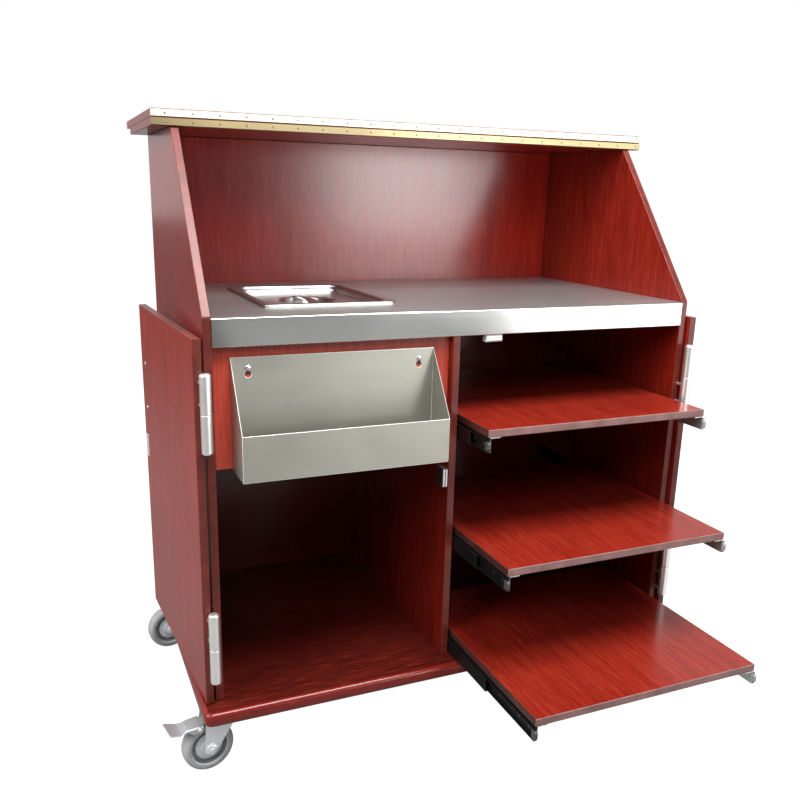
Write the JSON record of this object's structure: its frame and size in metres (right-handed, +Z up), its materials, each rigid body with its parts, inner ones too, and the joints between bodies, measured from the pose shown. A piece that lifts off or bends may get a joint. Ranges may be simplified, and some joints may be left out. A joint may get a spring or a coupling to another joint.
{
  "type": "waiter service station",
  "caption": "Mobile waiter service station on swivel casters with fold-back doors, pull-out shelves, a hanging bottle rail, a stainless counter with a lidded pan and a raised bar top.",
  "frame": {"origin": "on the floor at the middle of the rest-pose bounding box", "axes": "+X to the right seen from the staff side, +Y towards the guests, +Z up"},
  "size_m": [1.1622, 0.971, 1.22],
  "materials": {
    "laminate": "satin red mahogany wood-grain laminate",
    "fascia": "satin orange-red wood-grain laminate",
    "lacquer": "glossy red lacquer",
    "stainless": "brushed stainless sheet",
    "brass": "satin brass",
    "bright_steel": "bright plated steel",
    "slide_steel": "black steel",
    "zinc": "zinc plated",
    "wheel_rubber": "grey rubber",
    "catch_plastic": "off-white plastic"
  },
  "bodies": {
    "cabinet": {"base_board": "lacquer", "left_side_panel": "laminate", "right_side_panel": "laminate", "back_panel": "laminate", "center_divider": "laminate", "counter_stretcher": "laminate", "rail_panel": "fascia", "counter_top": "stainless", "bar_top_lower": "laminate", "bar_top_upper": "laminate", "bar_strip_lower": "brass", "bar_strip_upper": "brass", "left_door_catch": "catch_plastic", "right_door_catch": "catch_plastic", "left_upper_hinge_pin": "bright_steel", "left_lower_hinge_pin": "bright_steel", "right_upper_hinge_pin": "bright_steel", "right_lower_hinge_pin": "bright_steel", "bottom_left_slide_outer": "slide_steel", "bottom_right_slide_outer": "slide_steel", "middle_left_slide_outer": "slide_steel", "middle_right_slide_outer": "slide_steel", "top_left_slide_outer": "slide_steel", "top_right_slide_outer": "slide_steel"},
    "left_door_leaf": {"left_door": "laminate", "left_door_handle": "bright_steel", "left_upper_hinge_socket": "bright_steel", "left_lower_hinge_socket": "bright_steel"},
    "right_door_leaf": {"right_door": "laminate", "right_door_handle": "bright_steel", "right_upper_hinge_socket": "bright_steel", "right_lower_hinge_socket": "bright_steel"},
    "bottom_pull_out_shelf": {"bottom_shelf": "laminate", "bottom_left_slide_inner": "slide_steel", "bottom_right_slide_inner": "slide_steel"},
    "bottom_slide_carriage": {"bottom_left_slide_middle": "slide_steel", "bottom_right_slide_middle": "slide_steel"},
    "middle_pull_out_shelf": {"middle_shelf": "laminate", "middle_left_slide_inner": "slide_steel", "middle_right_slide_inner": "slide_steel"},
    "middle_slide_carriage": {"middle_left_slide_middle": "slide_steel", "middle_right_slide_middle": "slide_steel"},
    "top_pull_out_shelf": {"top_shelf": "laminate", "top_left_slide_inner": "slide_steel", "top_right_slide_inner": "slide_steel"},
    "top_slide_carriage": {"top_left_slide_middle": "slide_steel", "top_right_slide_middle": "slide_steel"},
    "lift_out_pan": {"food_pan": "stainless"},
    "lift_off_lid": {"pan_lid": "stainless"},
    "hanging_rail": {"bottle_rail": "stainless"},
    "front_left_swivel": {"front_left_caster_fork": "zinc"},
    "front_left_rolling_wheel": {"front_left_caster_wheel": "wheel_rubber"},
    "front_right_swivel": {"front_right_caster_fork": "zinc"},
    "front_right_rolling_wheel": {"front_right_caster_wheel": "wheel_rubber"},
    "rear_left_swivel": {"rear_left_caster_fork": "zinc"},
    "rear_left_rolling_wheel": {"rear_left_caster_wheel": "wheel_rubber"},
    "rear_right_swivel": {"rear_right_caster_fork": "zinc"},
    "rear_right_rolling_wheel": {"rear_right_caster_wheel": "wheel_rubber"},
    "front_left_brake": {"front_left_brake_pedal": "zinc"},
    "front_right_brake": {"front_right_brake_pedal": "zinc"}
  },
  "joints": [
    {"name": "left_door_hinge", "type": "hinge", "parent": "cabinet", "child": "left_door_leaf", "pos_m": [-0.49588, -0.1745, 0.5], "axis": [0, 0, 1], "range_deg": [0, 206]},
    {"name": "right_door_hinge", "type": "hinge", "parent": "cabinet", "child": "right_door_leaf", "pos_m": [0.53312, -0.1745, 0.5], "axis": [0, 0, 1], "range_deg": [-176.5, 0]},
    {"name": "bottom_shelf_slide", "type": "slide", "parent": "cabinet", "child": "bottom_pull_out_shelf", "axis": [0, -1, 0], "range_m": [-0.336, 0.144]},
    {"name": "bottom_carriage_slide", "type": "slide", "parent": "cabinet", "child": "bottom_slide_carriage", "axis": [0, -1, 0], "range_m": [-0.168, 0.072]},
    {"name": "middle_shelf_slide", "type": "slide", "parent": "cabinet", "child": "middle_pull_out_shelf", "axis": [0, -1, 0], "range_m": [-0.214, 0.266]},
    {"name": "middle_carriage_slide", "type": "slide", "parent": "cabinet", "child": "middle_slide_carriage", "axis": [0, -1, 0], "range_m": [-0.107, 0.133]},
    {"name": "top_shelf_slide", "type": "slide", "parent": "cabinet", "child": "top_pull_out_shelf", "axis": [0, -1, 0], "range_m": [-0.1175, 0.3625]},
    {"name": "top_carriage_slide", "type": "slide", "parent": "cabinet", "child": "top_slide_carriage", "axis": [0, -1, 0], "range_m": [-0.05875, 0.18125]},
    {"name": "pan_lift", "type": "slide", "parent": "cabinet", "child": "lift_out_pan", "axis": [0, 0, 1], "range_m": [0, 0.16]},
    {"name": "lid_lift", "type": "slide", "parent": "lift_out_pan", "child": "lift_off_lid", "axis": [0, 0, 1], "range_m": [0, 0.06]},
    {"name": "rail_lift", "type": "slide", "parent": "cabinet", "child": "hanging_rail", "axis": [0, 0, 1], "range_m": [0, 0.012]},
    {"name": "front_left_swivel_turn", "type": "hinge", "parent": "cabinet", "child": "front_left_swivel", "pos_m": [-0.47588, -0.1315, 0.122], "axis": [0, 0, 1], "continuous": true},
    {"name": "front_left_wheel_spin", "type": "hinge", "parent": "front_left_swivel", "child": "front_left_rolling_wheel", "pos_m": [-0.51035, -0.13758, 0.05], "axis": [-0.1736, 0.9848, 0], "continuous": true},
    {"name": "front_right_swivel_turn", "type": "hinge", "parent": "cabinet", "child": "front_right_swivel", "pos_m": [0.51312, -0.1315, 0.122], "axis": [0, 0, 1], "continuous": true},
    {"name": "front_right_wheel_spin", "type": "hinge", "parent": "front_right_swivel", "child": "front_right_rolling_wheel", "pos_m": [0.47865, -0.13758, 0.05], "axis": [-0.1736, 0.9848, 0], "continuous": true},
    {"name": "rear_left_swivel_turn", "type": "hinge", "parent": "cabinet", "child": "rear_left_swivel", "pos_m": [-0.47588, 0.3565, 0.122], "axis": [0, 0, 1], "continuous": true},
    {"name": "rear_left_wheel_spin", "type": "hinge", "parent": "rear_left_swivel", "child": "rear_left_rolling_wheel", "pos_m": [-0.51035, 0.35042, 0.05], "axis": [-0.1736, 0.9848, 0], "continuous": true},
    {"name": "rear_right_swivel_turn", "type": "hinge", "parent": "cabinet", "child": "rear_right_swivel", "pos_m": [0.51312, 0.3565, 0.122], "axis": [0, 0, 1], "continuous": true},
    {"name": "rear_right_wheel_spin", "type": "hinge", "parent": "rear_right_swivel", "child": "rear_right_rolling_wheel", "pos_m": [0.47865, 0.35042, 0.05], "axis": [-0.1736, 0.9848, 0], "continuous": true},
    {"name": "front_left_brake_press", "type": "hinge", "parent": "front_left_swivel", "child": "front_left_brake", "pos_m": [-0.50543, -0.13671, 0.106], "axis": [0.1736, -0.9848, 0], "range_deg": [0, 6]},
    {"name": "front_right_brake_press", "type": "hinge", "parent": "front_right_swivel", "child": "front_right_brake", "pos_m": [0.48357, -0.13671, 0.106], "axis": [0.1736, -0.9848, 0], "range_deg": [0, 6]}
  ],
  "couplings": [
    {"joint": "bottom_carriage_slide", "follows": "bottom_shelf_slide", "ratio": 0.5},
    {"joint": "middle_carriage_slide", "follows": "middle_shelf_slide", "ratio": 0.5},
    {"joint": "top_carriage_slide", "follows": "top_shelf_slide", "ratio": 0.5}
  ]
}
